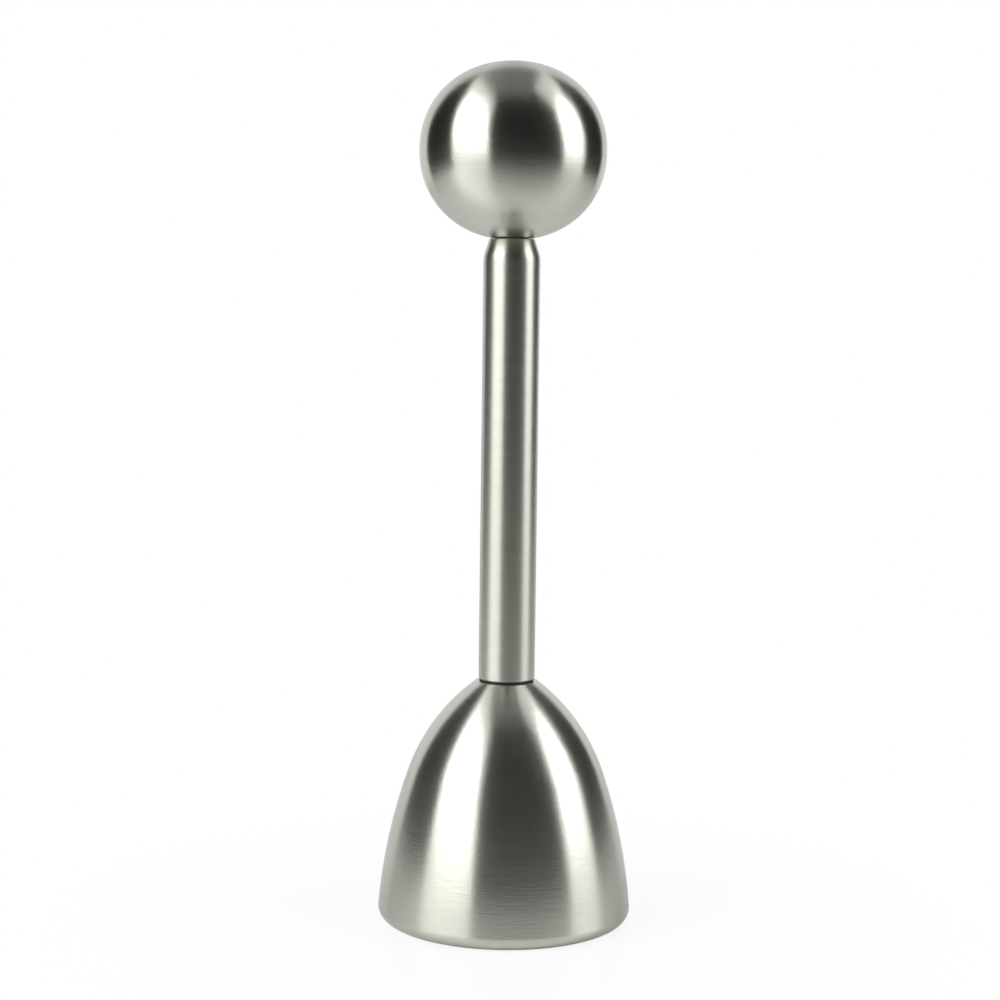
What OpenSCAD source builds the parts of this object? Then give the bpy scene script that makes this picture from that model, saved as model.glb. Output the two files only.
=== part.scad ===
// Egg topper with a sprung ball handle, in millimetres.
// The axis of the tool is Z. The bell's foot stands on the plane Z = 0, mouth down.
// Lifting the ball raises the hammer in the tube against the spring. Let go, the hammer falls on the
// anvil, and the blow runs down the post into the cup, whose edge cracks a ring round the shell.

/* [Bell] */
// Widest diameter of the bell, just above its foot
bell_d = 36.1; // [35.2:0.1:39]
// Height of the bell's crown, where the handle stands
bell_h = 34.4; // [32:0.1:36]
// Thickness of the bell's sheet
bell_wall = 0.8; // [0.6:0.05:1]
// Outer radius of the roll round the bell's foot
foot_roll = 1.8; // [1.5:0.1:2.2]
// Width of the flat ring that the bell stands on, inside the roll
foot_flat = 0.85; // [0.4:0.05:1.2]
// Lean of the bell's side where it leaves the roll, in degrees
side_lean = 4.7; // [4:0.1:6]
// Radius of the long arc up the bell's side
side_arc = 78.7; // [72:0.1:88]
// Radius of the arc over the bell's shoulder
shoulder_arc = 28.2; // [24:0.1:32]
// Width of the crown's flat rim that shows outside the handle
crown_rim = 0.4; // [0.2:0.05:0.6]

/* [Cutting cup] */
// Thickness of the cup's sheet
cup_wall = 0.8; // [0.6:0.05:1]
// Height of the cutting edge above the table
edge_lift = 0.5; // [0.2:0.05:1]
// Height of the straight skirt under the cup's dome
cup_skirt = 2.1; // [1.5:0.1:3]
// Diameter of the post's tenon, riveted through the cup
tenon_d = 3.0; // [2.4:0.1:3.6]
// Diameter of the riveted head inside the cup
rivet_d = 5.0; // [4.4:0.1:6]
// Height of the riveted head
rivet_h = 0.8; // [0.6:0.05:1.1]

/* [Handle tube] */
// Outer diameter of the tube
tube_d = 8.0; // [7.6:0.1:9]
// Thickness of the tube's wall
tube_wall = 0.6; // [0.5:0.05:0.7]
// Length of the tube, neck included
tube_len = 62.35; // [60:0.05:75]
// Outer diameter of the neck's mouth, under the ball
neck_d = 6.32; // [6:0.02:6.8]
// Slope of the neck, in degrees from the axis
neck_slope = 18.8; // [15:0.1:24]
// Radius that blends the neck into the tube
neck_blend = 4.2; // [3:0.1:6]
// Thickness of the washer between the tube and the bell
seal_t = 0.25; // [0.2:0.05:0.5]

/* [Anvil and post] */
// Length of the anvil plug inside the tube
anvil_len = 8.0; // [6.5:0.1:10]
// Thickness of the anvil's striking end
anvil_head = 2.0; // [1.5:0.1:3]
// Diameter of the stud that joins the post to the anvil
stud_d = 5.0; // [4:0.1:5.2]
// Diameter of the post between the cup and the crown
post_d = 7.4; // [6.4:0.1:7.6]

/* [Ball] */
// Diameter of the ball round its middle
ball_d = 26.2; // [23:0.1:30]
// Height of the ball from pole to pole
ball_h = 24.7; // [22:0.1:28]
// How full the ball's outline is: 2 is a plain ellipse
ball_fullness = 2.11; // [2:0.01:2.3]
// Thickness of the ball's two pressed shells
ball_wall = 0.8; // [0.6:0.05:1.2]
// Daylight between the boss under the ball and the neck's mouth
ball_rest_gap = 0.1; // [0.1:0.05:0.6]
// Diameter of the threaded boss in the ball
boss_d = 6.0; // [5:0.1:6.4]
// Height of the boss
boss_h = 8.0; // [6:0.1:10]
// Diameter of the boss's flange, inside the ball
boss_flange_d = 8.8; // [8:0.1:10]
// Thickness of the boss's flange
boss_flange_t = 1.2; // [0.8:0.1:1.6]
// Metal left in the boss above the rod's end
boss_cap = 1.0; // [0.6:0.1:2]

/* [Striker] */
// How far the ball lifts
travel = 15.0; // [10:0.5:18]
// Diameter of the pull rod
rod_d = 3.0; // [2.6:0.1:3.2]
// Depth of the rod's thread in the hammer
hammer_thread = 10.0; // [6:0.5:12]
// Clearance between the hammer and the tube's bore
hammer_gap = 0.25; // [0.15:0.05:0.4]
// Width of the lock nut across its flats
nut_af = 5.5; // [5:0.1:5.6]
// Thickness of the lock nut
nut_t = 1.8; // [1.5:0.1:2.2]
// Thickness of the thrust washer under the spring
thrust_t = 0.5; // [0.4:0.05:0.8]
// Length of the guide bush in the neck
bush_len = 9.65; // [7:0.05:12]
// Height of the bush's top above the neck's mouth, under the ball
bush_rise = 0.05; // [0.02:0.01:0.06]

/* [Spring] */
// Diameter of the spring's wire
wire_d = 0.6; // [0.5:0.05:0.7]
// Diameter of the coil, to the middle of the wire
coil_d = 5.2; // [5:0.05:5.6]
// Number of turns
coils = 12; // [10:1:13]
// Gap between the turns at each end of the spring
end_turn_gap = 0.45; // [0.42:0.01:0.6]
// Gap left in the coil when the ball is fully up
coil_spare = 0.25; // [0.1:0.05:0.6]

/* [Fits] */
// Gap round a threaded or pressed joint
joint_gap = 0.02; // [0.01:0.01:0.04]
// Gap between the rod and the bush that guides it
run_gap = 0.05; // [0.03:0.01:0.08]
// Gap between faces that only touch in use
face_gap = 0.05; // [0.03:0.01:0.1]
// Gap round the cup's skirt inside the bell's foot
cup_gap = 0.1; // [0.05:0.05:0.2]

/* [Hidden] */
$fn = 96;

steel = "#b9b8b3";
bright_steel = "#d2d1cc";
dark_seal = "#26262a";

arc_step = 2; // angle between the points of an arc, in degrees
ball_steps = 30; // points along a quarter of the ball's outline
wire_sides = 6;
rings_per_turn = 16;
chamfer = 0.4; // on the edges of turned pieces

tube_r = tube_d / 2;
bore_r = tube_r - tube_wall;
rod_r = rod_d / 2;
thread_r = rod_r + joint_gap; // hole of a piece that is screwed on to the rod

// Levels up the axis, each from the one that carries it.
tube_z = bell_h + seal_t;
anvil_z = tube_z + anvil_len;
neck_z = tube_z + tube_len;
bush_top_z = neck_z + bush_rise;
bush_z = bush_top_z - bush_len;
spring_len = (coils + 1) * wire_d + travel + coil_spare;
spring_z = bush_z - face_gap - spring_len;
thrust_z = spring_z - face_gap - thrust_t;
nut_z = thrust_z - face_gap - nut_t;
hammer_z = anvil_z + face_gap;
hammer_len = nut_z - hammer_z;
boss_z = neck_z + ball_rest_gap;
boss_hole_r = boss_d / 2 + joint_gap; // in the ball's lower shell
ball_z = boss_z + ball_rise(boss_hole_r, 0); // middle of the ball
rod_tip_gap = 0.2; // under the rod's lower end and over its upper end
rod_z = hammer_z + hammer_len - hammer_thread;
rod_top_z = boss_z + boss_h - boss_cap - rod_tip_gap;

// Points of an arc about [x, y], from angle a to angle b.
function arc(x, y, r, a, b) =
    let (n = max(2, ceil(abs(b - a) / arc_step)))
    [for (i = [0:n]) let (t = a + (b - a) * i / n) [x + r * cos(t), y + r * sin(t)]];

// Where the circles [c, r] and [d, s] cross, on the left of the way from c to d.
function crossing(c, r, d, s) =
    let (gap = norm(d - c), u = (d - c) / gap, along = (gap * gap + r * r - s * s) / (2 * gap))
    c + along * u + sqrt(r * r - along * along) * [-u.y, u.x];

// The bell's outline is three arcs that run smoothly into each other: the roll, the side and the shoulder.
crown_r = tube_r + crown_rim;
foot_inner_r = bell_d / 2 - foot_roll - foot_flat;
roll_centre = [bell_d / 2 - foot_roll, foot_roll];
side_centre = roll_centre - (side_arc - foot_roll) * [cos(side_lean), sin(side_lean)];
shoulder_centre = crossing([crown_r, bell_h], shoulder_arc, side_centre, side_arc - shoulder_arc);
shoulder_lean = atan2(shoulder_centre.y - side_centre.y, shoulder_centre.x - side_centre.x);

// The bell's outline, at a depth inside its outer face, up to the underside of a flat crown at that depth.
function bell_outline(depth) =
    let (
        crown_angle = asin((bell_h - depth - shoulder_centre.y) / (shoulder_arc - depth))
    )
    concat(
        arc(roll_centre.x, roll_centre.y, foot_roll - depth, -90, side_lean),
        arc(side_centre.x, side_centre.y, side_arc - depth, side_lean, shoulder_lean),
        arc(shoulder_centre.x, shoulder_centre.y, shoulder_arc - depth, shoulder_lean, crown_angle)
    );

// The cup is a half ball over a skirt, and its skirt fits inside the bell's foot.
cutter_r = foot_inner_r - cup_gap - cup_wall;
dome_z = edge_lift + cup_skirt;

// The tube's outline at a depth inside its outer face, from a level up to the neck's mouth.
neck_blend_z = neck_z - neck_blend * sin(neck_slope)
    - (tube_r - neck_blend * (1 - cos(neck_slope)) - neck_d / 2) / tan(neck_slope);

function tube_outline(depth, from_z, to_z) =
    let (mouth_r = neck_d / 2 - depth / cos(neck_slope) + (neck_z - to_z) * tan(neck_slope))
    concat(
        [[tube_r - depth, from_z]],
        arc(tube_r - neck_blend, neck_blend_z, neck_blend - depth, 0, neck_slope),
        [[mouth_r, to_z]]
    );

// Half height of the ball's outline at radius r, at a depth inside its outer face.
function ball_rise(r, depth) =
    let (a = ball_d / 2 - depth, b = ball_h / 2 - depth)
    b * pow(1 - pow(r / a, ball_fullness), 1 / ball_fullness);

// The ball's outline from radius r to its middle.
function ball_outline(r, depth) =
    let (a = ball_d / 2 - depth, first = acos(pow(r / a, ball_fullness / 2)))
    [for (i = [0:ball_steps])
        let (t = first * (1 - i / ball_steps), x = a * pow(cos(t), 2 / ball_fullness)) [x, ball_rise(x, depth)]];

function backwards(points) = [for (i = [len(points) - 1:-1:0]) points[i]];

// A turned piece: a cylinder with both its edges chamfered.
module turned(r, z, h, edge = chamfer) {
    rotate_extrude()
        polygon([[0, z], [r - edge, z], [r, z + edge], [r, z + h - edge], [r - edge, z + h], [0, z + h]]);
}

module ring(r_out, r_in, z, h) {
    difference() {
        translate([0, 0, z]) cylinder(r = r_out, h = h);
        translate([0, 0, z - 1]) cylinder(r = r_in, h = h + 2);
    }
}

// Spun bell: thin sheet, rolled in at the foot and pierced at the crown.
module bell_shell() {
    color(steel) rotate_extrude()
        polygon(concat(
            [[foot_inner_r, bell_wall], [foot_inner_r, 0]],
            bell_outline(0),
            [[stud_d / 2 + joint_gap, bell_h], [stud_d / 2 + joint_gap, bell_h - bell_wall]],
            backwards(bell_outline(bell_wall))
        ));
}

// Pressed cup that fills the bell's foot: a half ball on a short skirt, ground from outside to an edge.
module cutting_cup() {
    tenon_hole_r = tenon_d / 2 + joint_gap;
    outer_end = acos(tenon_hole_r / (cutter_r + cup_wall));
    inner_end = acos(tenon_hole_r / cutter_r);
    color(bright_steel) rotate_extrude()
        polygon(concat(
            [[cutter_r, edge_lift], [cutter_r + cup_wall, edge_lift + cup_wall]],
            arc(0, dome_z, cutter_r + cup_wall, 0, outer_end),
            arc(0, dome_z, cutter_r, inner_end, 0)
        ));
}

// Post from the cup to the crown, riveted over inside the cup and threaded above the crown.
module cup_post() {
    post_r = post_d / 2;
    post_z = dome_z + sqrt(pow(cutter_r + cup_wall, 2) - pow(tenon_d / 2, 2));
    rivet_z = dome_z + sqrt(pow(cutter_r, 2) - pow(rivet_d / 2, 2)) - joint_gap;
    tenon_z = rivet_z - rivet_h / 2;
    stud_len = bell_wall + seal_t + anvil_len - anvil_head - rod_tip_gap;
    color(bright_steel) {
        difference() {
            turned(post_r, post_z - chamfer, bell_h - bell_wall - post_z + chamfer);
            translate([0, 0, dome_z]) sphere(r = cutter_r + cup_wall + joint_gap);
        }
        turned(stud_d / 2, bell_h - bell_wall - chamfer, stud_len + chamfer);
        translate([0, 0, tenon_z]) cylinder(d = tenon_d, h = post_z + chamfer - tenon_z);
        rivet_head(rivet_z);
    }
}

// Low domed head, its flat face up against the cup.
module rivet_head(z) {
    sphere_r = (pow(rivet_d / 2, 2) + pow(rivet_h, 2)) / (2 * rivet_h);
    intersection() {
        translate([0, 0, z - rivet_h + sphere_r]) sphere(r = sphere_r);
        translate([0, 0, z - rivet_h]) cylinder(d = rivet_d, h = rivet_h);
    }
}

// Thin washer under the tube, a little narrower than the tube, which reads as a dark line.
module joint_washer() {
    color(dark_seal) ring(tube_r - seal_t / 2, stud_d / 2 + 2 * joint_gap, bell_h, seal_t);
}

// Plug fixed in the foot of the tube. The post's stud screws into it, and the hammer lands on it.
module anvil_plug() {
    color(bright_steel) difference() {
        turned(bore_r - joint_gap, tube_z, anvil_len);
        translate([0, 0, tube_z - 1]) cylinder(r = stud_d / 2 + joint_gap, h = anvil_len - anvil_head + 1);
    }
}

// Tube with its top swaged in to a neck, which keeps the bush.
module handle_tube() {
    tube_edge = tube_wall / 3;
    color(steel) rotate_extrude()
        polygon(concat(
            [[bore_r, tube_z], [tube_r - tube_edge, tube_z]],
            tube_outline(0, tube_z + tube_edge, neck_z),
            backwards(tube_outline(tube_wall, tube_z, neck_z))
        ));
}

// Guide bush, shaped to the inside of the neck.
module guide_bush() {
    color(dark_seal) difference() {
        rotate_extrude()
            polygon(concat(
                [[0, bush_z]],
                tube_outline(tube_wall + joint_gap, bush_z, bush_top_z),
                [[0, bush_top_z]]
            ));
        translate([0, 0, bush_z - 1]) cylinder(r = rod_r + run_gap, h = bush_len + 2);
    }
}

// The spring's wire is one helix. The first and last turns lie closer than the rest.
end_pitch = wire_d + end_turn_gap;
mid_pitch = (spring_len - wire_d - 2 * end_pitch) / (coils - 2);
ring_count = coils * rings_per_turn;

function rise(turn) =
    turn < 1 ? turn * end_pitch
    : turn > coils - 1 ? end_pitch + (coils - 2) * mid_pitch + (turn - coils + 1) * end_pitch
    : end_pitch + (turn - 1) * mid_pitch;

function coil_point(i) =
    let (turn = i / rings_per_turn)
    [coil_d / 2 * cos(360 * turn), coil_d / 2 * sin(360 * turn), spring_z + wire_d / 2 + rise(turn)];

function wire_ring(i) =
    let (
        centre = coil_point(i),
        ahead = coil_point(min(i + 1, ring_count)) - coil_point(max(i - 1, 0)),
        out = [centre.x, centre.y, 0] / norm([centre.x, centre.y]),
        up = cross(ahead / norm(ahead), out)
    )
    [for (k = [0:wire_sides - 1])
        let (t = 360 * k / wire_sides) centre + wire_d / 2 * (cos(t) * out - sin(t) * up)];

// Least gap between turns, measured from each point of the wire to those a turn or so further on.
spring_gap = min([
    for (i = [0:ring_count - rings_per_turn])
        for (j = [i + rings_per_turn / 2:min(ring_count, i + 2 * rings_per_turn)])
            norm(coil_point(j) - coil_point(i)) - wire_d
]);
echo(least_gap_between_spring_turns = spring_gap);

module return_spring() {
    points = [for (i = [0:ring_count]) each wire_ring(i)];
    last = ring_count * wire_sides;
    skin = [
        for (i = [0:ring_count - 1], k = [0:wire_sides - 1])
            let (a = i * wire_sides + k, b = i * wire_sides + (k + 1) % wire_sides)
                each [[a, b, a + wire_sides], [b, b + wire_sides, a + wire_sides]]
    ];
    first_cap = [for (k = [1:wire_sides - 2]) [0, k + 1, k]];
    last_cap = [for (k = [1:wire_sides - 2]) [last, last + k, last + k + 1]];
    color(bright_steel) polyhedron(points = points, faces = concat(skin, first_cap, last_cap));
}

// Washer that the spring presses on, free to stand still while the rod turns.
module thrust_washer() {
    color(bright_steel) ring(bore_r - hammer_gap, rod_r + 2 * run_gap, thrust_z, thrust_t);
}

// Hexagon nut that locks the rod in the hammer.
module lock_nut() {
    color(bright_steel) difference() {
        intersection() {
            translate([0, 0, nut_z]) cylinder(r = nut_af / sqrt(3), h = nut_t, $fn = 6);
            turned(nut_af / sqrt(3), nut_z, nut_t, nut_af / sqrt(3) - nut_af / 2);
        }
        translate([0, 0, nut_z - 1]) cylinder(r = thread_r, h = nut_t + 2);
    }
}

// Steel slug that strikes the anvil.
module hammer() {
    color(bright_steel) difference() {
        turned(bore_r - hammer_gap, hammer_z, hammer_len);
        translate([0, 0, rod_z - rod_tip_gap]) cylinder(r = thread_r, h = hammer_thread + rod_tip_gap + 1);
    }
}

module pull_rod() {
    color(bright_steel) turned(rod_r, rod_z, rod_top_z - rod_z, chamfer / 2);
}

// Threaded boss, flanged inside the ball and flush under it.
module ball_boss() {
    flange_z = ball_z - ball_rise(boss_flange_d / 2, ball_wall) + joint_gap;
    color(bright_steel) difference() {
        union() {
            turned(boss_d / 2, boss_z, boss_h, chamfer / 2);
            turned(boss_flange_d / 2, flange_z, boss_flange_t, chamfer / 2);
        }
        translate([0, 0, boss_z - 1]) cylinder(r = thread_r, h = rod_top_z + rod_tip_gap - boss_z + 1);
    }
}

// The ball is two pressed shells, butt welded round the middle and ground flush.
module ball_half(hole_r) {
    rotate_extrude()
        polygon(concat(ball_outline(hole_r, 0), backwards(ball_outline(hole_r, ball_wall))));
}

module ball_lower_shell() {
    color(steel) translate([0, 0, ball_z]) mirror([0, 0, 1]) ball_half(boss_hole_r);
}

module ball_upper_shell() {
    color(steel) translate([0, 0, ball_z]) ball_half(0);
}

bell_shell();
cutting_cup();
cup_post();
joint_washer();
anvil_plug();
handle_tube();
guide_bush();
return_spring();
thrust_washer();
lock_nut();
hammer();
pull_rod();
ball_boss();
ball_lower_shell();
ball_upper_shell();
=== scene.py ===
"""Egg topper: the finish of its pieces, the camera and the studio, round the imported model.

The tool stands on its bell with its axis on Z. turn() makes every turned piece from the outline of its
metal, (radius, height) in metres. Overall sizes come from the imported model. The settings hold the rest.
"""

import math

import bmesh
import bpy
from bpy.props import FloatProperty, FloatVectorProperty, IntProperty, PointerProperty
from mathutils import Matrix, Vector


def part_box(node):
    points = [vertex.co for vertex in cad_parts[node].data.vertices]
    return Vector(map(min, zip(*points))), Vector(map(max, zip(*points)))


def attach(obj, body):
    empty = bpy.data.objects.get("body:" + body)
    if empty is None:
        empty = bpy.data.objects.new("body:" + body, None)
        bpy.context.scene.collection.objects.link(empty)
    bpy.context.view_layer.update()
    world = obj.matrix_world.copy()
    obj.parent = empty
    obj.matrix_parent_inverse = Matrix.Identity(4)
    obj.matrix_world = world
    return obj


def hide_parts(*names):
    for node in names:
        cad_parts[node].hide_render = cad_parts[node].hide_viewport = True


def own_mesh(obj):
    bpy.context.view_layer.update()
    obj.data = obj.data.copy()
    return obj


bl_info = {
    "name": "Egg Topper",
    "version": (1, 0, 0),
    "blender": (4, 5, 0),
    "location": "View3D > Sidebar > Egg Topper",
    "description": "Builds a brushed steel egg topper and the studio that it stands in",
    "category": "Object",
}

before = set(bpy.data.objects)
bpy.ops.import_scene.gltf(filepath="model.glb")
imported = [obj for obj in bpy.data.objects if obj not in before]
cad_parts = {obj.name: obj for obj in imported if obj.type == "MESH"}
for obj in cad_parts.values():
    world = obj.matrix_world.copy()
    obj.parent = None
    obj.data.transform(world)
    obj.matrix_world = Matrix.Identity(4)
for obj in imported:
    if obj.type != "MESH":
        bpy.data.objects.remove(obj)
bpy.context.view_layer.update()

MM = 0.001
SEGMENTS = 256
ARC_STEP = math.radians(2)
ROUNDING_STEPS = 5
ON_AXIS = 1e-9
RUN = "run"  # point attribute: how far a point lies along its outline


# Settings


def number(name, description, default, **more):
    return FloatProperty(name=name, description=description, default=default, min=0, **more)


def length(name, description, default):
    return number(name, description, default, unit="LENGTH", precision=5)


def share(name, description, default):
    return number(name, description, default, max=1, subtype="FACTOR")


def angle(name, description, degrees):
    return FloatProperty(name=name, description=description, default=math.radians(degrees), subtype="ANGLE")


def colour(name, description, default):
    return FloatVectorProperty(
        name=name, description=description, default=default, min=0, max=1, size=3, subtype="COLOR"
    )


class BellSettings(bpy.types.PropertyGroup):
    """Sizes of the spun bell."""

    sheet: length("Sheet", "Thickness of the bell's sheet", 0.8 * MM)
    foot_roll: length("Foot roll", "Outer radius of the roll round the foot", 1.8 * MM)
    foot_flat: length("Foot flat", "Width of the flat ring inside the roll", 0.85 * MM)
    side_lean: angle("Side lean", "Lean of the side where it leaves the roll", 4.7)
    side_arc: length("Side arc", "Radius of the long arc up the side", 78.7 * MM)
    shoulder_arc: length("Shoulder arc", "Radius of the arc over the shoulder", 28.2 * MM)
    crown_rim: length("Crown rim", "Width of the crown that shows outside the tube", 0.4 * MM)
    stud_hole: length("Stud hole", "Diameter of the hole in the crown", 5.04 * MM)


class CupSettings(bpy.types.PropertyGroup):
    """Sizes of the cutting cup and the post that carries it."""

    sheet: length("Sheet", "Thickness of the cup's sheet", 0.8 * MM)
    skirt: length("Skirt", "Height of the straight skirt under the dome", 2.1 * MM)
    tenon: length("Tenon", "Diameter of the post's tenon in the cup", 3.0 * MM)
    rivet: length("Rivet", "Diameter of the riveted head inside the cup", 5.0 * MM)
    rivet_height: length("Rivet height", "Height of the riveted head", 0.8 * MM)
    stud: length("Stud", "Diameter of the post's stud, in the anvil", 5.0 * MM)
    play: length("Play", "Gap round the tenon and over the cup", 0.02 * MM)


class HandleSettings(bpy.types.PropertyGroup):
    """Sizes of the tube, the bush in its neck and the washer under its foot."""

    wall: length("Wall", "Thickness of the tube's wall", 0.6 * MM)
    foot_edge: length("Foot edge", "Chamfer round the tube's lower end", 0.2 * MM)
    neck: length("Neck", "Outer diameter of the neck's mouth", 6.32 * MM)
    neck_slope: angle("Neck slope", "Slope of the neck from the axis", 18.8)
    neck_blend: length("Neck blend", "Radius that blends the neck into the tube", 4.2 * MM)
    bush_gap: length("Bush gap", "Gap between the bush and the rod", 0.05 * MM)
    bush_play: length("Bush play", "Gap between the bush and the tube", 0.02 * MM)
    seal_hole: length("Seal hole", "Diameter of the hole in the washer under the tube", 5.08 * MM)


class BallSettings(bpy.types.PropertyGroup):
    """Sizes of the ball and its boss."""

    fullness: FloatProperty(
        name="Fullness", description="How full the outline is: 2 is an ellipse", default=2.11, min=2, max=3
    )
    wall: length("Wall", "Thickness of the ball's shell", 0.8 * MM)
    boss: length("Boss", "Diameter of the threaded boss", 6.0 * MM)
    flange: length("Flange", "Thickness of the boss's flange", 1.2 * MM)
    play: length("Play", "Gap round the boss and round the rod in it", 0.02 * MM)
    tip_gap: length("Tip gap", "Gap over the rod's upper end", 0.2 * MM)


class SpringSettings(bpy.types.PropertyGroup):
    """Sizes of the return spring."""

    wire: length("Wire", "Diameter of the wire", 0.6 * MM)
    turns: IntProperty(name="Turns", description="Number of turns", default=12, min=4)
    end_gap: length("End gap", "Gap between the turns at each end", 0.45 * MM)


class FinishSettings(bpy.types.PropertyGroup):
    """Colours of the finishes, their roughness and the stretch of their highlights."""

    steel: colour("Steel", "Brushed and turned steel", (0.59, 0.59, 0.53))
    seal: colour("Seal", "Dark washer under the tube", (0.02, 0.02, 0.021))
    bush: colour("Bush", "Plastic of the guide bush", (0.03, 0.03, 0.032))
    bell_roughness: share("Bell roughness", "Roughness of the bell", 0.24)
    bell_stretch: share("Bell stretch", "How far highlights stretch across the bell's brushing", 0.64)
    haze: share("Haze", "How much of the bell is dulled to a matt grey by handling", 0.035)
    ball_roughness: share("Ball roughness", "Roughness of the ball", 0.235)
    ball_stretch: share("Ball stretch", "How far highlights stretch across the ball's brushing", 0.83)
    tube_roughness: share("Tube roughness", "Roughness of the tube", 0.33)
    cup_roughness: share("Cup roughness", "Roughness of the cutting cup", 0.3)
    wire_roughness: share("Wire roughness", "Roughness of the spring's wire", 0.3)
    turned_roughness: share("Turned roughness", "Roughness of the turned pieces", 0.23)
    boss_roughness: share("Boss roughness", "Roughness of the ball's boss", 0.22)
    rod_roughness: share("Rod roughness", "Roughness of the ground rod", 0.16)


class StudioSettings(bpy.types.PropertyGroup):
    """Lamps, cards, floor and camera."""

    softbox_level: number("Softbox level", "Brightness of the softboxes", 2.9)
    fill: number("Fill", "Power of each fill lamp", 0.9, unit="POWER")
    card_level: number("Card level", "Brightness of the dark cards", 0.018)
    ceiling_level: number("Ceiling level", "Brightness of the ceiling", 0.25)
    floor: colour("Floor", "White sheet that the tool stands on", (0.9, 0.9, 0.9))
    floor_glow: number("Floor glow", "Brightness of the floor in the metal", 0.78)
    # painted pool of light on the floor, seen in the metal
    painted_pool_level: number("Floor pool", "Extra glow on the floor before the left softbox", 2.2)
    # painted shade: the floor's colour and glow fade towards the camera's side
    painted_shade_reach: length("Floor reach", "How far in front the floor has dimmed to a half", 0.145)
    camera: FloatVectorProperty(
        name="Camera", description="Where the camera is", default=(-0.00125, -0.3058, 0.0899), subtype="XYZ"
    )
    lens: number("Lens", "Focal length", 78.07, unit="CAMERA")
    tilt: angle("Tilt", "How far the camera looks down", 5.54)
    roll: angle("Roll", "How far the tool leans to the right in the picture", 0.72)


# Outlines


def arc(centre, radius, start, end, steps=None):
    """Points of an arc about centre, from one angle to another."""
    steps = steps or max(2, math.ceil(abs(end - start) / ARC_STEP))
    angles = [start + (end - start) * i / steps for i in range(steps + 1)]
    return [Vector((centre[0] + radius * math.cos(t), centre[1] + radius * math.sin(t))) for t in angles]


def crossing(one, one_radius, other, other_radius):
    """Where two circles cross, on the left of the way from one to the other."""
    gap = (other - one).length
    towards = (other - one) / gap
    along = (gap**2 + one_radius**2 - other_radius**2) / (2 * gap)
    return one + along * towards + math.sqrt(one_radius**2 - along**2) * towards.orthogonal()


def rounded(corners):
    """The closed outline through the corners: (radius, height), or (radius, height, rounding)."""
    points = [Vector(corner[:2]) for corner in corners]
    outline = []
    for index, corner in enumerate(corners):
        point = points[index]
        if len(corner) == 2:
            outline.append(point)
            continue
        back = (points[index - 1] - point).normalized()
        ahead = (points[(index + 1) % len(points)] - point).normalized()
        radius = corner[2]
        half = back.angle(ahead) / 2
        centre = point + (back + ahead).normalized() * radius / math.sin(half)
        first = point + back * radius / math.tan(half) - centre
        last = point + ahead * radius / math.tan(half) - centre
        start = math.atan2(first.y, first.x)
        sweep = math.remainder(math.atan2(last.y, last.x) - start, math.tau)
        outline += arc(centre, radius, start, start + sweep, ROUNDING_STEPS)
    return outline


# Meshes


def finished(name, shape, body, slot, material, *stands_for):
    """The piece from its bmesh: shaded smooth, on its body, in the place of its CAD nodes."""
    bmesh.ops.recalc_face_normals(shape, faces=shape.faces)
    mesh = bpy.data.meshes.new(name)
    shape.to_mesh(mesh)
    shape.free()
    mesh.shade_smooth()
    mesh.materials.append(material)
    piece = bpy.data.objects.new(name, mesh)
    bpy.context.scene.collection.objects.link(piece)
    piece.modifiers.new("Even shading", "WEIGHTED_NORMAL")
    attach(piece, body)
    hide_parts(*stands_for)
    return piece


def bridge(shape, ring, following):
    """Faces between two rings of points. A ring on the axis is one point."""
    if len(ring) == len(following) == 1:
        return
    for i in range(SEGMENTS):
        j = (i + 1) % SEGMENTS
        if len(ring) == 1:
            shape.faces.new((ring[0], following[j], following[i]))
        elif len(following) == 1:
            shape.faces.new((ring[i], ring[j], following[0]))
        else:
            shape.faces.new((ring[i], ring[j], following[j], following[i]))


def turn(outline):
    """A bmesh of the solid that a closed outline sweeps round the axis."""
    shape = bmesh.new()
    run = shape.verts.layers.float.new(RUN)
    rings = []
    travelled = 0.0
    for index, point in enumerate(outline):
        if index:
            travelled += (point - outline[index - 1]).length
        count = SEGMENTS if point.x > ON_AXIS else 1
        turns = [math.tau * i / count for i in range(count)]
        ring = [shape.verts.new((point.x * math.cos(t), point.x * math.sin(t), point.y)) for t in turns]
        for vertex in ring:
            vertex[run] = travelled
        rings.append(ring)
    for ring, following in zip(rings, rings[1:] + rings[:1], strict=True):
        bridge(shape, ring, following)
    return shape


# Nodes


def add(tree, kind, inputs=(), **settings):
    """A node with its settings. Each input is given a value, or an output to link from."""
    made = tree.nodes.new(kind)
    for name, value in settings.items():
        setattr(made, name, value)
    for key, value in dict(inputs).items():
        if isinstance(value, bpy.types.NodeSocket):
            tree.links.new(value, made.inputs[key])
        else:
            made.inputs[key].default_value = value
    return made


def math_node(tree, operation, *values):
    """The result of a sum on numbers and outputs."""
    return add(tree, "ShaderNodeMath", enumerate(values), operation=operation).outputs[0]


def mapped(tree, value, low, high, start=0.0, end=1.0, curve="LINEAR"):
    """Value mapped to start at low and to end at high, and held there beyond them."""
    inputs = {"Value": value, "From Min": low, "From Max": high, "To Min": start, "To Max": end}
    return add(tree, "ShaderNodeMapRange", inputs, interpolation_type=curve).outputs[0]


def stepped(tree, value, low, high):
    """Value mapped smoothly to 0 at low and 1 at high."""
    return mapped(tree, value, low, high, curve="SMOOTHSTEP")


def mixed(tree, factor, one, other):
    """A colour between two, or a number between two."""
    kind = "FLOAT" if isinstance(one, float) else "RGBA"
    # Each kind has its own sockets on the node, which share their names, so they are told by number.
    a, b, result = (2, 3, 0) if kind == "FLOAT" else (6, 7, 2)
    return add(tree, "ShaderNodeMix", {0: factor, a: one, b: other}, data_type=kind).outputs[result]


def tinted(colour, share):
    """A share of a colour, as a colour socket takes it."""
    return (*(c * share for c in colour), 1.0)


# Shared effects


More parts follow.
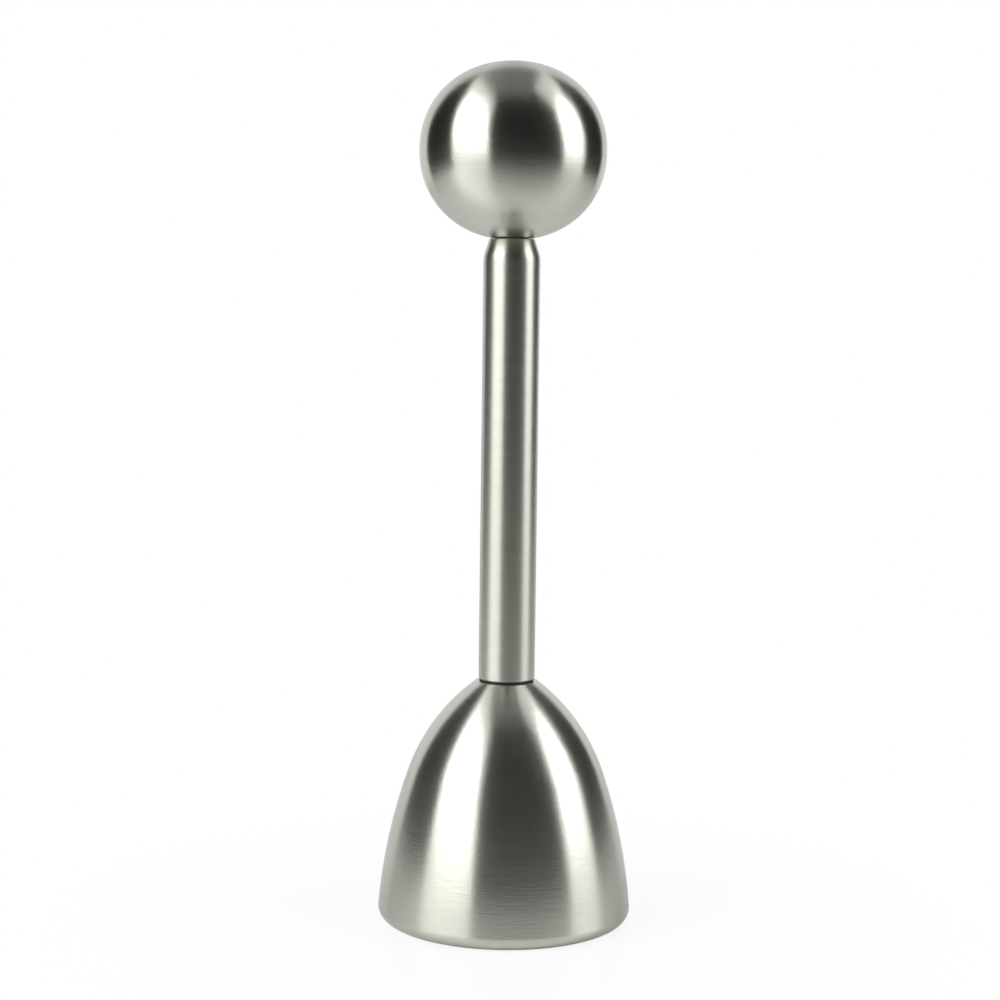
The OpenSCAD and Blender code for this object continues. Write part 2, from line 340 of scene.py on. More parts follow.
def new_group(name, inputs, outputs):
    """An empty node group with named number sockets."""
    tree = bpy.data.node_groups.new(name, "ShaderNodeTree")
    for label, default in inputs.items():
        socket = tree.interface.new_socket(label, in_out="INPUT", socket_type="NodeSocketFloat")
        socket.default_value = default
    for label in outputs:
        tree.interface.new_socket(label, in_out="OUTPUT", socket_type="NodeSocketFloat")
    return tree, tree.nodes.new("NodeGroupInput"), tree.nodes.new("NodeGroupOutput")


def stretched_noise(tree, place, across, along, width, detail):
    """Noise drawn out round the axis: features are across long and width wide."""
    x = math_node(tree, "DIVIDE", place.outputs["X"], across)
    y = math_node(tree, "DIVIDE", place.outputs["Y"], across)
    z = math_node(tree, "DIVIDE", along, width)
    vector = add(tree, "ShaderNodeCombineXYZ", {"X": x, "Y": y, "Z": z}).outputs[0]
    inputs = {"Vector": vector, "Scale": 1.0, "Detail": detail, "Roughness": 0.6}
    return add(tree, "ShaderNodeTexNoise", inputs).outputs[0]


def brushing_group():
    """Fine lines round the axis from the brushing wheel, a few deeper ones, and slow bands."""
    tree, given, out = new_group(
        "brushing",
        {"Along": 0.0, "Line Length": 4 * MM, "Line Width": 0.2 * MM},
        ("Lines", "Deep Lines", "Bands"),
    )
    band_width = 12.0  # in line widths
    band_length = 4.0  # in line lengths
    elsewhere = 1.0  # metres, so that deep lines don't lie on the fine ones
    place = add(tree, "ShaderNodeTexCoord").outputs["Object"]
    place = add(tree, "ShaderNodeSeparateXYZ", {"Vector": place})
    along, across, width = (given.outputs[k] for k in ("Along", "Line Length", "Line Width"))
    lines = stretched_noise(tree, place, across, along, width, 3)
    deep = stretched_noise(tree, place, across, math_node(tree, "ADD", along, elsewhere), width, 1)
    wide = math_node(tree, "MULTIPLY", width, band_width)
    long = math_node(tree, "MULTIPLY", across, band_length)
    bands = stretched_noise(tree, place, long, along, wide, 2)
    tree.links.new(stepped(tree, lines, 0.3, 0.7), out.inputs["Lines"])
    tree.links.new(stepped(tree, deep, 0.66, 0.78), out.inputs["Deep Lines"])
    tree.links.new(stepped(tree, bands, 0.3, 0.7), out.inputs["Bands"])
    return tree


def handling_group():
    """Soft clouds where hands and cloths have dulled the metal."""
    tree, given, out = new_group("handling", {"Size": 9 * MM}, ("Clouds",))
    place = add(tree, "ShaderNodeTexCoord").outputs["Object"]
    scale = math_node(tree, "DIVIDE", 1.0, given.outputs["Size"])
    inputs = {"Vector": place, "Scale": scale, "Detail": 4.0, "Roughness": 0.55, "Distortion": 0.4}
    clouds = add(tree, "ShaderNodeTexNoise", inputs).outputs[0]
    tree.links.new(stepped(tree, clouds, 0.35, 0.7), out.inputs["Clouds"])
    return tree


def grain_group():
    """Fine even grain, as on moulded plastic or in the pits of rolled steel."""
    tree, given, out = new_group("grain", {"Size": 0.15 * MM}, ("Grain",))
    place = add(tree, "ShaderNodeTexCoord").outputs["Object"]
    scale = math_node(tree, "DIVIDE", 1.0, given.outputs["Size"])
    inputs = {"Vector": place, "Scale": scale, "Detail": 3.0}
    tree.links.new(add(tree, "ShaderNodeTexNoise", inputs).outputs[0], out.inputs["Grain"])
    return tree


def placed(tree, group, **inputs):
    """The group of that name in a material, made the first time that it is asked for."""
    makers = {"brushing": brushing_group, "handling": handling_group, "grain": grain_group}
    node_tree = bpy.data.node_groups.get(group) or makers[group]()
    sockets = {name.replace("_", " ").title(): value for name, value in inputs.items()}
    return add(tree, "ShaderNodeGroup", sockets, node_tree=node_tree)


# Materials


def new_material(name):
    material = bpy.data.materials.new(name)
    material.use_nodes = True
    return material, material.node_tree, material.node_tree.nodes["Principled BSDF"]


def along_outline(tree):
    return add(tree, "ShaderNodeAttribute", attribute_name=RUN).outputs["Fac"]


def along_height(tree):
    """For a piece without the run attribute: height plus distance from the axis."""
    place = add(tree, "ShaderNodeTexCoord").outputs["Object"]
    parts = add(tree, "ShaderNodeSeparateXYZ", {"Vector": place})
    flat = add(tree, "ShaderNodeCombineXYZ", {"X": parts.outputs["X"], "Y": parts.outputs["Y"]}).outputs[0]
    out = add(tree, "ShaderNodeVectorMath", {0: flat}, operation="LENGTH").outputs["Value"]
    return math_node(tree, "ADD", parts.outputs["Z"], out)


def steel(name, roughness, stretch=0.5, line_width=0.28 * MM, scratches=1.0, haze=0.0, along=along_outline):
    """Steel brushed or turned round the axis, so that its highlights stretch across the lines.

    Its roughness varies little, as a wider swing shows as dashes on the metal once the picture is denoised.
    """
    line_swing, cloud_swing, scratch_swing = 0.03, 0.06, 0.08
    pit_depth = 3.0  # in depths of a line
    line_depth = 2.7e-6
    quarter_turn = 0.25
    finish = bpy.context.scene.egg_topper.finish
    material, tree, shader = new_material(name)
    brushing = placed(tree, "brushing", along=along(tree), line_length=3 * MM, line_width=line_width)
    lines, deep, bands = (brushing.outputs[k] for k in ("Lines", "Deep Lines", "Bands"))
    clouds = placed(tree, "handling").outputs["Clouds"]
    pits = placed(tree, "grain", size=0.35 * MM).outputs["Grain"]
    tone = mixed(tree, lines, tinted(finish.steel, 0.95), tinted(finish.steel, 1.04))
    tone = mixed(tree, bands, tone, tinted(finish.steel, 0.97))
    tree.links.new(tone, shader.inputs["Base Color"])
    rough = mixed(tree, lines, roughness * (1 - line_swing), roughness * (1 + line_swing))
    rough = math_node(tree, "MULTIPLY_ADD", clouds, roughness * cloud_swing, rough)
    rough = math_node(tree, "MULTIPLY_ADD", deep, roughness * scratch_swing * scratches, rough)
    tree.links.new(rough, shader.inputs["Roughness"])
    height = math_node(tree, "MULTIPLY_ADD", deep, scratches, lines)
    height = math_node(tree, "MULTIPLY_ADD", pits, pit_depth, height)
    bump = add(tree, "ShaderNodeBump", {"Height": height, "Distance": line_depth, "Strength": 1.0})
    tree.links.new(bump.outputs[0], shader.inputs["Normal"])
    tangent = add(tree, "ShaderNodeTangent", direction_type="RADIAL", axis="Z")
    tree.links.new(tangent.outputs[0], shader.inputs["Tangent"])
    shader.inputs["Metallic"].default_value = 1.0 - haze
    shader.inputs["Anisotropic"].default_value = stretch
    shader.inputs["Anisotropic Rotation"].default_value = quarter_turn
    shader.inputs["Specular Tint"].default_value = tinted((1.0, 1.0, 1.0), 0.8)
    return material


def moulded(name, colour, roughness):
    """Dark rubber or plastic with a fine moulded grain."""
    grain_depth = 4e-6
    material, tree, shader = new_material(name)
    grain = placed(tree, "grain").outputs["Grain"]
    tone = mixed(tree, grain, tinted(colour, 0.8), tinted(colour, 1.3))
    tree.links.new(tone, shader.inputs["Base Color"])
    tree.links.new(mixed(tree, grain, roughness * 0.9, roughness * 1.1), shader.inputs["Roughness"])
    bump = add(tree, "ShaderNodeBump", {"Height": grain, "Distance": grain_depth, "Strength": 1.0})
    tree.links.new(bump.outputs[0], shader.inputs["Normal"])
    return material


# Pieces


def bell_outline(bell, radius, height, depth):
    """The bell's outline at a depth inside its outer face: the roll, the side and the shoulder."""
    roll_centre = Vector((radius - bell.foot_roll, bell.foot_roll))
    lean = Vector((math.cos(bell.side_lean), math.sin(bell.side_lean)))
    side_centre = roll_centre - (bell.side_arc - bell.foot_roll) * lean
    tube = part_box("handle_tube")[1].x
    crown = Vector((tube + bell.crown_rim, height))
    shoulder_centre = crossing(crown, bell.shoulder_arc, side_centre, bell.side_arc - bell.shoulder_arc)
    across = shoulder_centre - side_centre
    shoulder_lean = math.atan2(across.y, across.x)
    crown_angle = math.asin((height - depth - shoulder_centre.y) / (bell.shoulder_arc - depth))
    return (
        arc(roll_centre, bell.foot_roll - depth, -math.pi / 2, bell.side_lean)
        + arc(side_centre, bell.side_arc - depth, bell.side_lean, shoulder_lean)[1:]
        + arc(shoulder_centre, bell.shoulder_arc - depth, shoulder_lean, crown_angle)[1:]
    )


def tube_outline(handle, radius, mouth_z, depth):
    """The blend into the neck at a depth inside the tube's outer face, and the mouth's radius there."""
    slope = handle.neck_slope
    blend = handle.neck_blend
    fall = (radius - blend * (1 - math.cos(slope)) - handle.neck / 2) / math.tan(slope)
    blend_centre = (radius - blend, mouth_z - blend * math.sin(slope) - fall)
    mouth = handle.neck / 2 - depth / math.cos(slope)
    return arc(blend_centre, blend - depth, 0, slope), mouth


class EGG_TOPPER_OT_bell(bpy.types.Operator):
    """Spun bell, rolled in at its foot and pierced at its crown"""

    bl_idname = "egg_topper.bell"
    bl_label = "Bell"

    def execute(self, context):
        bell = context.scene.egg_topper.bell
        finish = context.scene.egg_topper.finish
        low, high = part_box("bell_shell")
        inner = high.x - bell.foot_roll - bell.foot_flat
        hole = bell.stud_hole / 2
        foot_edge, crown_edge, hole_edge = 0.15 * MM, 0.12 * MM, 0.1 * MM
        outside = bell_outline(bell, high.x, high.z, 0)
        inside = bell_outline(bell, high.x, high.z, bell.sheet)
        outline = rounded(
            [(inner, low.z, foot_edge)]
            + outside[:-1]
            + [(*outside[-1], crown_edge)]
            + [(hole, high.z, hole_edge), (hole, high.z - bell.sheet, hole_edge)]
            + inside[::-1]
            + [(inner, low.z + bell.sheet, foot_edge)]
        )
        look = {"scratches": 0.5, "haze": finish.haze}
        material = steel("brushed_steel_bell", finish.bell_roughness, finish.bell_stretch, **look)
        finished("bell", turn(outline), "base", "brushed_shell", material, "bell_shell")
        return {"FINISHED"}


class EGG_TOPPER_OT_cup(bpy.types.Operator):
    """Cutting cup with its ground edge, and the post riveted into it"""

    bl_idname = "egg_topper.cup"
    bl_label = "Cutting cup"

    def execute(self, context):
        cup = context.scene.egg_topper.cup
        finish = context.scene.egg_topper.finish
        low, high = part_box("cutting_cup")
        outer = high.x
        inner = outer - cup.sheet
        centre = (0, low.z + cup.skirt)
        hole = cup.tenon / 2 + cup.play
        cutting_edge, ground_edge = 0.02 * MM, 0.06 * MM
        outside = arc(centre, outer, 0, math.acos(hole / outer))
        inside = arc(centre, inner, math.acos(hole / inner), 0)
        outline = rounded(
            [(inner, low.z, cutting_edge), (outer, low.z + cup.sheet, ground_edge)] + outside + inside
        )
        material = steel("brushed_steel_cup", finish.cup_roughness, line_width=0.3 * MM)
        finished("cup", turn(outline), "base", "cup_steel", material, "cutting_cup")
        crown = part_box("bell_shell")[1].z - context.scene.egg_topper.bell.sheet
        self.make_post(cup, finish, centre, outer, crown)
        return {"FINISHED"}

    def make_post(self, cup, finish, centre, cup_radius, crown):
        """Riveted head, tenon, post seated on the cup's dome, and the stud above the crown."""
        low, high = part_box("cup_post")
        head = cup.rivet / 2
        head_radius = (head**2 + cup.rivet_height**2) / (2 * cup.rivet_height)
        head_centre = (0, low.z + head_radius)
        head_end = math.asin(head / head_radius) - math.pi / 2
        head_top = low.z + cup.rivet_height
        seat = cup_radius + cup.play
        tenon = cup.tenon / 2
        stud = cup.stud / 2
        bevel = 0.4 * MM
        outline = rounded(
            arc(head_centre, head_radius, -math.pi / 2, head_end)[:-1]
            + [(head, head_top, 0.01 * MM), (tenon, head_top, 0.05 * MM)]
            + arc(centre, seat, math.acos(tenon / seat), math.acos(high.x / seat))
            + [(high.x, crown - bevel), (high.x - bevel, crown), (stud, crown, 0.1 * MM)]
            + [(stud, high.z, bevel), (0, high.z)]
        )
        material = steel("turned_steel_post", finish.turned_roughness, line_width=0.12 * MM)
        finished("post", turn(outline), "base", "turned_steel", material, "cup_post")


class EGG_TOPPER_OT_handle(bpy.types.Operator):
    """Tube with its necked top, the guide bush in the neck and the washer under the foot"""

    bl_idname = "egg_topper.handle"
    bl_label = "Handle"

    def execute(self, context):
        handle = context.scene.egg_topper.handle
        finish = context.scene.egg_topper.finish
        low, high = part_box("handle_tube")
        bore = high.x - handle.wall
        edge = handle.foot_edge
        bore_edge, mouth_edge = 0.1 * MM, 0.14 * MM
        blend, mouth = tube_outline(handle, high.x, high.z, 0)
        inner_blend, inner_mouth = tube_outline(handle, high.x, high.z, handle.wall)
        outline = rounded(
            [(bore, low.z, bore_edge), (high.x - edge, low.z, 0.08 * MM), (high.x, low.z + edge, 0.12 * MM)]
            + blend
            + [(mouth, high.z, mouth_edge), (inner_mouth, high.z, bore_edge)]
            + inner_blend[::-1]
        )
        material = steel("brushed_steel_tube", finish.tube_roughness)
        finished("tube", turn(outline), "base", "brushed_shell", material, "handle_tube")
        self.make_bush(handle, finish, high.x, high.z)
        self.make_seal(handle, finish)
        return {"FINISHED"}

    def make_bush(self, handle, finish, tube_radius, mouth_z):
        """Bush shaped to the inside of the neck, bored for the rod."""
        low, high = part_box("guide_bush")
        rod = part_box("pull_rod")[1].x
        blend, mouth = tube_outline(handle, tube_radius, mouth_z, handle.wall + handle.bush_play)
        top = mouth + (mouth_z - high.z) * math.tan(handle.neck_slope)
        hole = rod + handle.bush_gap
        hole_edge, foot_edge, top_edge = 0.15 * MM, 0.2 * MM, 0.12 * MM
        outline = rounded(
            [(hole, low.z, hole_edge), (high.x, low.z, foot_edge)]
            + blend
            + [(top, high.z, top_edge), (hole, high.z, hole_edge)]
        )
        material = moulded("bush_plastic", finish.bush, 0.4)
        finished("bush", turn(outline), "base", "bush_plastic", material, "guide_bush")

    def make_seal(self, handle, finish):
        """Thin washer, its outer edge rounded, which shows as a dark line."""
        low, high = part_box("joint_washer")
        hole = handle.seal_hole / 2
        rounding = (high.z - low.z) * 0.35
        corners = [(hole, low.z), (high.x, low.z, rounding), (high.x, high.z, rounding), (hole, high.z)]
        material = moulded("seal_rubber", finish.seal, 0.6)
        finished("seal", turn(rounded(corners)), "base", "dark_seal", material, "joint_washer")


class EGG_TOPPER_OT_ball(bpy.types.Operator):
    """Hollow ball, ground flush over its weld, and the threaded boss in it"""

    bl_idname = "egg_topper.ball"
    bl_label = "Ball"

    def execute(self, context):
        ball = context.scene.egg_topper.ball
        finish = context.scene.egg_topper.finish
        low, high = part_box("ball_upper_shell")
        radius, middle, rise = high.x, low.z, high.z - low.z
        hole = ball.boss / 2 + ball.play
        outside = self.shell_outline(ball, radius, rise, hole, middle)
        inside = self.shell_outline(ball, radius - ball.wall, rise - ball.wall, hole, middle)
        shell = turn(outside + inside[::-1])
        material = steel("brushed_steel_ball", finish.ball_roughness, finish.ball_stretch, scratches=0.25)
        nodes = ("ball_lower_shell", "ball_upper_shell")
        finished("ball", shell, "plunger", "brushed_shell", material, *nodes)
        self.make_boss(ball, finish, radius - ball.wall, rise - ball.wall, middle)
        return {"FINISHED"}

    def shell_outline(self, ball, radius, rise, hole, middle):
        """Superellipse from the hole under the ball, out round its middle, to its top."""
        power = 2 / ball.fullness
        start = -math.acos((hole / radius) ** (1 / power))
        count = math.ceil((math.pi / 2 - start) / ARC_STEP)
        points = []
        for i in range(count + 1):
            t = start + (math.pi / 2 - start) * i / count
            x = radius * max(math.cos(t), 0.0) ** power if i < count else 0.0
            points.append(Vector((x, middle + math.copysign(rise * abs(math.sin(t)) ** power, t))))
        return points

    def make_boss(self, ball, finish, inner_radius, inner_rise, middle):
        """Boss, flanged inside the ball, its blind hole threaded on to the rod."""
        low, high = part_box("ball_boss")
        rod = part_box("pull_rod")[1]
        outer = ball.boss / 2
        hole = rod.x + ball.play
        top = rod.z + ball.tip_gap
        drop = inner_rise * (1 - (high.x / inner_radius) ** ball.fullness) ** (1 / ball.fullness)
        flange = middle - drop + ball.play
        flange_top = flange + ball.flange
        soft = 0.12 * MM
        outline = rounded(
            [(hole, low.z, soft), (outer, low.z, soft), (outer, flange, soft / 2), (high.x, flange, soft)]
            + [(high.x, flange_top, soft), (outer, flange_top, soft / 2)]
            + [(outer, high.z, soft), (0, high.z), (0, top), (hole, top)]
        )
        material = steel("turned_steel_boss", finish.boss_roughness, line_width=0.12 * MM)
        finished("boss", turn(outline), "plunger", "turned_steel", material, "ball_boss")


class EGG_TOPPER_OT_striker(bpy.types.Operator):
    """Pull rod, and the turned finish of the hammer, nut, washer and anvil"""

    bl_idname = "egg_topper.striker"
    bl_label = "Striker"

    def execute(self, context):
        finish = context.scene.egg_topper.finish
        low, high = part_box("pull_rod")
        edge = 0.2 * MM
        outline = rounded(
            [(0, low.z), (high.x - edge, low.z), (high.x, low.z + edge), (high.x, high.z - edge)]
            + [(high.x - edge, high.z), (0, high.z)]
        )
        material = steel("ground_steel_rod", finish.rod_roughness, line_width=0.1 * MM)
        finished("rod", turn(outline), "plunger", "turned_steel", material, "pull_rod")
        look = {"line_width": 0.15 * MM, "along": along_height}
        for node in ("hammer", "lock_nut", "thrust_washer", "anvil_plug"):
            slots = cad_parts[node].data.materials
            slots.clear()
            slots.append(steel("turned_steel_" + node, finish.turned_roughness, **look))
        return {"FINISHED"}


class EGG_TOPPER_OT_spring(bpy.types.Operator):
    """Return spring, wound as one helix whose end turns lie closer"""

    bl_idname = "egg_topper.spring"
    bl_label = "Spring"

    WIRE_SIDES = 14
    RINGS_PER_TURN = 40

    def execute(self, context):
        spring = context.scene.egg_topper.spring
        finish = context.scene.egg_topper.finish
        low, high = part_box("return_spring")
        tall = high.z - low.z
        wire = spring.wire / 2
        coil = high.x - wire
        count = spring.turns * self.RINGS_PER_TURN
        centres = [self.coil_point(spring, coil, low.z + wire, tall, i) for i in range(count + 1)]
        shape = bmesh.new()
        run = shape.verts.layers.float.new(RUN)
        rings = []
        for i, centre in enumerate(centres):
            ahead = (centres[min(i + 1, count)] - centres[max(i - 1, 0)]).normalized()
            out = Vector((centre.x, centre.y, 0)).normalized()
            up = ahead.cross(out)
            ring = []
            for k in range(self.WIRE_SIDES):
                t = math.tau * k / self.WIRE_SIDES
                vertex = shape.verts.new(centre + wire * (math.cos(t) * out + math.sin(t) * up))
                vertex[run] = wire * t
                ring.append(vertex)
            rings.append(ring)
        for ring, following in zip(rings, rings[1:], strict=False):
            for k in range(self.WIRE_SIDES):
                j = (k + 1) % self.WIRE_SIDES
                shape.faces.new((ring[k], ring[j], following[j], following[k]))
        shape.faces.new(rings[0])
        shape.faces.new(rings[-1])
        material = steel("spring_wire", finish.wire_roughness, line_width=0.08 * MM)
        piece = finished("spring", shape, "base", "spring_wire", material, "return_spring")
        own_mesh(piece)
        return {"FINISHED"}

    def coil_point(self, spring, coil, start, tall, index):
        """Middle of the wire: its end turns rise by the wire and the end gap."""
        turn_count = index / self.RINGS_PER_TURN
        end_pitch = spring.wire + spring.end_gap
        middle_pitch = (tall - spring.wire - 2 * end_pitch) / (spring.turns - 2)
        first = min(turn_count, 1.0)
        last = max(turn_count - (spring.turns - 1), 0.0)
        rise = (first + last) * end_pitch + (turn_count - first - last) * middle_pitch
        t = math.tau * turn_count
        return Vector((coil * math.cos(t), coil * math.sin(t), start + rise))


# Studio


def stage_piece(name, points, faces, material):
    """A piece of the studio, which isn't part of the tool."""
    mesh = bpy.data.meshes.new(name)
    mesh.from_pydata(points, [], faces)
    mesh.materials.append(material)
    piece = bpy.data.objects.new(name, mesh)
    bpy.context.scene.collection.objects.link(piece)
    return piece


def around(azimuth, distance, height):
    """A point by its direction from the tool, 0 towards the camera and positive to its right."""
    return Vector((distance * math.sin(azimuth), -distance * math.cos(azimuth), height))


def glowing(name, level, foot=1.0, lights=False):
    """A surface that shows one grey, dimmed to a share of it at its foot.

    It lights the tool only if asked.
    """
    full_height = 0.25
    material, tree, shader = new_material(name)
    tree.nodes.remove(shader)
    place = add(tree, "ShaderNodeSeparateXYZ", {0: add(tree, "ShaderNodeTexCoord").outputs["Object"]})
    strength = mapped(tree, place.outputs["Z"], 0.0, full_height, level * foot, level)
    glow = add(tree, "ShaderNodeEmission", {"Color": (1, 1, 1, 1), "Strength": strength})
    tree.links.new(glow.outputs[0], tree.nodes["Material Output"].inputs["Surface"])
    material.cycles.emission_sampling = "AUTO" if lights else "NONE"
    return material


def card(name, rows, distance, material):
    """An upright card on a circle round the tool, which only the metal and the light see.

    A row is (height, start, end), with its ends in degrees.
    """
    steps = 24
    points = []
    for height, start, end in rows:
        angles = [math.radians(start + (end - start) * i / steps) for i in range(steps + 1)]
        points += [around(azimuth, distance, height) for azimuth in angles]
    faces = []
    for row in range(len(rows) - 1):
        for i in range(steps):
            k = row * (steps + 1) + i
            faces.append((k, k + 1, k + steps + 2, k + steps + 1))
    stage_piece(name, points, faces, material).visible_camera = False


def white_sheet(studio):
    """The floor's white, which is plain white to the camera and clear from below.

    In the metal it dims towards the camera's side, as painted shade in its colour and glow, and it glows in
    a painted pool of light before the left softbox.
    """
    material, tree, lit = new_material("white_sheet")
    path = add(tree, "ShaderNodeLightPath").outputs
    place = add(tree, "ShaderNodeTexCoord").outputs["Object"]

    def towards(azimuth):
        """How far a point of the floor lies towards an azimuth."""
        heading = tuple(around(math.radians(azimuth), 1.0, 0))
        reach = add(tree, "ShaderNodeVectorMath", {0: place, 1: heading}, operation="DOT_PRODUCT")
        return reach.outputs["Value"]

    # Painted shade: the sheet's colour and glow fade towards the camera's side, where less light falls.
    ahead = math_node(tree, "DIVIDE", math_node(tree, "MAXIMUM", towards(15), 0.0), studio.painted_shade_reach)
    painted_shade_falloff = math_node(tree, "DIVIDE", 1.0, math_node(tree, "MULTIPLY_ADD", ahead, ahead, 1.0))
    tree.links.new(mixed(tree, painted_shade_falloff, (0, 0, 0, 1), (*studio.floor, 1)), lit.inputs["Base Color"])
    lit.inputs["Roughness"].default_value = 0.35
    # The painted pool of light is a wedge from azimuth -95 to -25, and grows to its full glow inside its
    # edge.
    painted_pool_edge = 45 * MM
    pool = math_node(tree, "MINIMUM", towards(-5), towards(-115))
    pool = mapped(tree, pool, 0.0, painted_pool_edge, 0.0, studio.painted_pool_level)
    glow = math_node(tree, "MULTIPLY_ADD", painted_shade_falloff, studio.floor_glow, pool)
    short = math_node(tree, "SUBTRACT", 1.0, glow)
    glow = math_node(tree, "MULTIPLY_ADD", short, path["Is Camera Ray"], glow)
    white = add(tree, "ShaderNodeEmission", {"Color": (1, 1, 1, 1), "Strength": glow})
    # Near the foot the camera sees some of the lit sheet, with the tool's shadow on it.
    shadow_start, shadow_end = 20 * MM, 70 * MM
    shown_at_foot, shown_to_metal = 0.88, 0.15
    out = add(tree, "ShaderNodeVectorMath", {0: place}, operation="LENGTH").outputs["Value"]
    shown = mapped(tree, out, shadow_start, shadow_end, shown_at_foot, 1.0)
    shown = math_node(tree, "MULTIPLY", path["Is Camera Ray"], shown)
    shown = math_node(tree, "MULTIPLY_ADD", path["Is Glossy Ray"], shown_to_metal, shown)
    top = add(tree, "ShaderNodeMixShader", {0: shown, 1: lit.outputs[0], 2: white.outputs[0]})
    clear = add(tree, "ShaderNodeBsdfTransparent")
    back_side = add(tree, "ShaderNodeNewGeometry").outputs["Backfacing"]
    sheet = add(tree, "ShaderNodeMixShader", {0: back_side, 1: top.outputs[0], 2: clear.outputs[0]})
    tree.links.new(sheet.outputs[0], tree.nodes["Material Output"].inputs["Surface"])
    material.cycles.emission_sampling = "NONE"
    return material


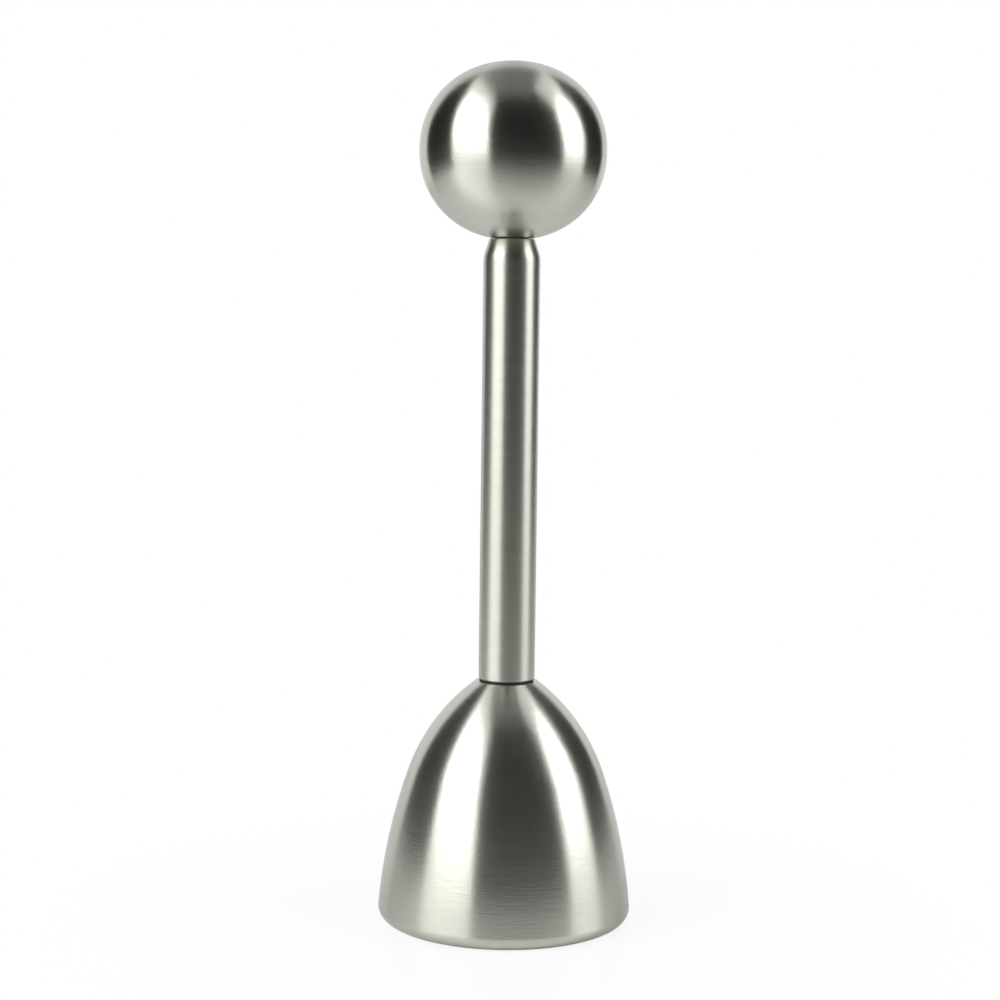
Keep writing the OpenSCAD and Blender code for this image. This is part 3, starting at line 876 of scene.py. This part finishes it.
class EGG_TOPPER_OT_stage(bpy.types.Operator):
    """Floor, room, cards, softboxes and camera"""

    bl_idname = "egg_topper.stage"
    bl_label = "Studio"

    def execute(self, context):
        studio = context.scene.egg_topper.studio
        self.make_room(context.scene)
        self.make_fill(context.scene, studio)
        self.make_floor(studio)
        self.make_cards(studio)
        self.make_camera(context.scene, studio)
        return {"FINISHED"}

    def make_room(self, scene):
        """White all round, as the camera and the metal see it."""
        scene.view_settings.view_transform = "Standard"
        world = bpy.data.worlds.new("room")
        scene.world = world
        world.use_nodes = True
        room = world.node_tree.nodes["Background"]
        room.inputs["Color"].default_value = (1, 1, 1, 1)
        room.inputs["Strength"].default_value = 1.0

    def make_fill(self, scene, studio):
        """Lamp at each side for the sheet, rubber and plastic, which the metal doesn't show."""
        across, front, up = 0.45, -0.25, 0.42
        for side in (-1, 1):
            lamp = bpy.data.lights.new("fill", "AREA")
            lamp.shape = "DISK"
            lamp.size = 0.3
            lamp.energy = studio.fill
            rig = bpy.data.objects.new("fill", lamp)
            scene.collection.objects.link(rig)
            place = Vector((across * side, front, up))
            aim = place.to_track_quat("Z", "Y").to_matrix().to_4x4()
            rig.matrix_world = Matrix.Translation(place) @ aim
            rig.visible_camera = False
            rig.visible_glossy = False

    def make_floor(self, studio):
        """White sheet, open under the bell, so that the inside can be seen from below."""
        side, front, back = 0.38, 0.6, 1.2
        hole = 15.8 * MM
        level = -0.02 * MM
        least = 1e-6  # keeps the divisions finite
        count = 128
        inner, outer = [], []
        for i in range(count):
            t = math.tau * i / count
            x, y = math.cos(t), math.sin(t)
            reach = min(side / max(abs(x), least), (back if y > 0 else front) / max(abs(y), least))
            inner.append((hole * x, hole * y, level))
            outer.append((reach * x, reach * y, level))
        faces = [(i, count + i, count + (i + 1) % count, (i + 1) % count) for i in range(count)]
        stage_piece("floor", inner + outer, faces, white_sheet(studio))

    def make_cards(self, studio):
        """Dark cards in front and at both sides, two rounded softboxes and a grey ceiling."""
        dark = glowing("dark_card", studio.card_level)
        card("front_card", [(-0.6, -32, 63), (1.3, -32, 63), (2.0, -50, 63), (3.2, -50, 63)], 0.9, dark)
        card("left_card", [(-0.2, -127, -80), (0.6, -136, -80), (1.3, -155, -80)], 0.9, dark)
        card("right_card", [(-0.2, 98, 136), (0.6, 98, 143), (1.25, 98, 155)], 0.9, dark)
        lamp = glowing("softbox", studio.softbox_level, foot=0.45, lights=True)
        rows = [(0.0, -62, -29), (0.1, -74, -29.5), (0.22, -80, -31), (0.46, -84, -32.5)]
        rows += [(0.75, -92, -38), (1.0, -99, -47), (1.17, -99, -68)]
        card("left_softbox", rows, 0.75, lamp)
        rows = [(0.0, 67, 93), (0.1, 65, 94), (0.25, 62.5, 94), (0.5, 62.5, 97)]
        rows += [(0.74, 65.5, 100), (0.95, 71, 102), (1.12, 80, 102)]
        card("right_softbox", rows, 0.8, lamp)
        grey = glowing("grey_ceiling", studio.ceiling_level)
        left, right, front, back, top = -0.56, 0.42, -0.56, 1.2, 1.5
        corners = [(left, front, top), (left, back, top), (right, back, top), (right, front, top)]
        stage_piece("ceiling", corners, [(0, 1, 2, 3)], grey).visible_camera = False

    def make_camera(self, scene, studio):
        """Camera at the photograph's angle."""
        data = bpy.data.cameras.new("camera")
        data.sensor_width = 36.0
        data.lens = studio.lens
        data.clip_start = 0.01
        camera = bpy.data.objects.new("camera", data)
        scene.collection.objects.link(camera)
        aim = Matrix.Rotation(math.pi / 2 - studio.tilt, 4, "X") @ Matrix.Rotation(studio.roll, 4, "Z")
        camera.matrix_world = Matrix.Translation(studio.camera) @ aim
        scene.camera = camera


# Add-on


class EggTopperSettings(bpy.types.PropertyGroup):
    """All that a user would change."""

    bell: PointerProperty(type=BellSettings)
    cup: PointerProperty(type=CupSettings)
    handle: PointerProperty(type=HandleSettings)
    ball: PointerProperty(type=BallSettings)
    spring: PointerProperty(type=SpringSettings)
    finish: PointerProperty(type=FinishSettings)
    studio: PointerProperty(type=StudioSettings)


BUILDERS = (
    EGG_TOPPER_OT_stage,
    EGG_TOPPER_OT_bell,
    EGG_TOPPER_OT_cup,
    EGG_TOPPER_OT_handle,
    EGG_TOPPER_OT_ball,
    EGG_TOPPER_OT_striker,
    EGG_TOPPER_OT_spring,
)


class EGG_TOPPER_PT_sidebar(bpy.types.Panel):
    """Lists the builders"""

    bl_idname = "EGG_TOPPER_PT_sidebar"
    bl_label = "Egg Topper"
    bl_space_type = "VIEW_3D"
    bl_region_type = "UI"
    bl_category = "Egg Topper"

    def draw(self, context):
        for builder in BUILDERS:
            self.layout.operator(builder.bl_idname)


CLASSES = (
    BellSettings,
    CupSettings,
    HandleSettings,
    BallSettings,
    SpringSettings,
    FinishSettings,
    StudioSettings,
    EggTopperSettings,
    *BUILDERS,
    EGG_TOPPER_PT_sidebar,
)


def register():
    for cls in CLASSES:
        bpy.utils.register_class(cls)
    bpy.types.Scene.egg_topper = PointerProperty(type=EggTopperSettings)


def unregister():
    del bpy.types.Scene.egg_topper
    for cls in reversed(CLASSES):
        bpy.utils.unregister_class(cls)


def main():
    register()
    bpy.ops.egg_topper.stage()
    bpy.ops.egg_topper.bell()
    bpy.ops.egg_topper.cup()
    bpy.ops.egg_topper.handle()
    bpy.ops.egg_topper.ball()
    bpy.ops.egg_topper.striker()
    bpy.ops.egg_topper.spring()


if __name__ == "__main__":
    main()
